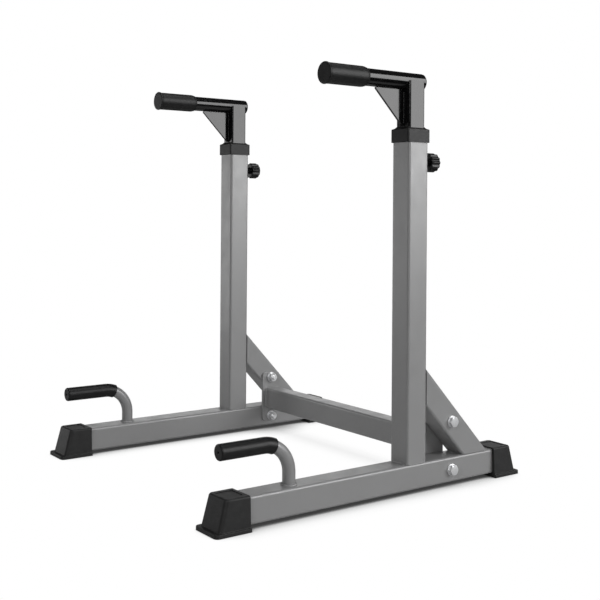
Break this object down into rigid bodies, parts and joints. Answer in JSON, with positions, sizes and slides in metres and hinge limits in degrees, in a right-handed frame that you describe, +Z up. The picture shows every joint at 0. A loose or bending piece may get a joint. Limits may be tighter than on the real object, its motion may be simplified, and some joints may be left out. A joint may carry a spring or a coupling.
{
  "type": "dip station",
  "caption": "Free-standing dip station: braced side frames joined by a low cross beam, with pin-locked sliding posts, gripped dip bars and low push-up handles.",
  "frame": {"origin": "on the floor, under the middle of the object's outline", "axes": "+X to the right as seen from the front, +Y to the back where the braces and pull knobs are, +Z up; the grips point to -Y, the front"},
  "size_m": [0.7124, 0.745, 0.8241],
  "materials": {
    "frame_paint": "silver-grey metallic powder coat, satin",
    "gloss_black": "gloss black paint",
    "grip_rubber": "matte, moulded",
    "foam": "matte closed-cell foam",
    "foot_rubber": "matte moulded rubber",
    "black_plastic": "satin moulded plastic",
    "knob_plastic": "glossy moulded plastic",
    "zinc": "bright zinc plate",
    "bright_steel": "bright turned steel"
  },
  "bodies": {
    "frame": {"left_base_tube": "frame_paint", "left_upright_tube": "frame_paint", "left_brace_tube": "frame_paint", "left_pushup_tube": "frame_paint", "left_pushup_grip": "foam", "left_front_foot": "foot_rubber", "left_rear_foot": "foot_rubber", "left_collar_bushing": "black_plastic", "left_weld_nut": "frame_paint", "left_pin_barrel": "zinc", "left_pin_spring": "bright_steel", "left_flange_plate": "frame_paint", "left_lower_bolt": "zinc", "left_upper_bolt": "zinc", "left_lower_outer_washer": "zinc", "left_upper_outer_washer": "zinc", "left_lower_inner_washer": "zinc", "left_upper_inner_washer": "zinc", "left_lower_nut": "zinc", "left_upper_nut": "zinc", "cross_beam": "frame_paint", "right_base_tube": "frame_paint", "right_upright_tube": "frame_paint", "right_brace_tube": "frame_paint", "right_pushup_tube": "frame_paint", "right_pushup_grip": "foam", "right_front_foot": "foot_rubber", "right_rear_foot": "foot_rubber", "right_collar_bushing": "black_plastic", "right_weld_nut": "frame_paint", "right_pin_barrel": "zinc", "right_pin_spring": "bright_steel", "right_flange_plate": "frame_paint", "right_lower_bolt": "zinc", "right_upper_bolt": "zinc", "right_lower_outer_washer": "zinc", "right_upper_outer_washer": "zinc", "right_lower_inner_washer": "zinc", "right_upper_inner_washer": "zinc", "right_lower_nut": "zinc", "right_upper_nut": "zinc"},
    "left_post": {"left_height_post": "gloss_black", "left_post_glide": "black_plastic", "left_bar_gusset": "gloss_black", "left_dip_bar": "gloss_black", "left_dip_grip": "grip_rubber", "left_dip_bar_end_plug": "black_plastic"},
    "right_post": {"right_height_post": "gloss_black", "right_post_glide": "black_plastic", "right_bar_gusset": "gloss_black", "right_dip_bar": "gloss_black", "right_dip_grip": "grip_rubber", "right_dip_bar_end_plug": "black_plastic"},
    "left_pin": {"left_plunger_pin": "bright_steel", "left_pull_knob": "knob_plastic"},
    "right_pin": {"right_plunger_pin": "bright_steel", "right_pull_knob": "knob_plastic"}
  },
  "joints": [
    {"name": "left_post_slide", "type": "slide", "parent": "frame", "child": "left_post", "axis": [0, 0, 1], "range_m": [0, 0.2]},
    {"name": "right_post_slide", "type": "slide", "parent": "frame", "child": "right_post", "axis": [0, 0, 1], "range_m": [0, 0.2]},
    {"name": "left_pin_pull", "type": "slide", "parent": "frame", "child": "left_pin", "axis": [0, 1, 0], "range_m": [-0.01, 0], "stiffness_N_per_m": 800, "springref_m": -0.018, "deforming": ["left_pin_spring"]},
    {"name": "right_pin_pull", "type": "slide", "parent": "frame", "child": "right_pin", "axis": [0, 1, 0], "range_m": [-0.01, 0], "stiffness_N_per_m": 800, "springref_m": -0.018, "deforming": ["right_pin_spring"]}
  ]
}
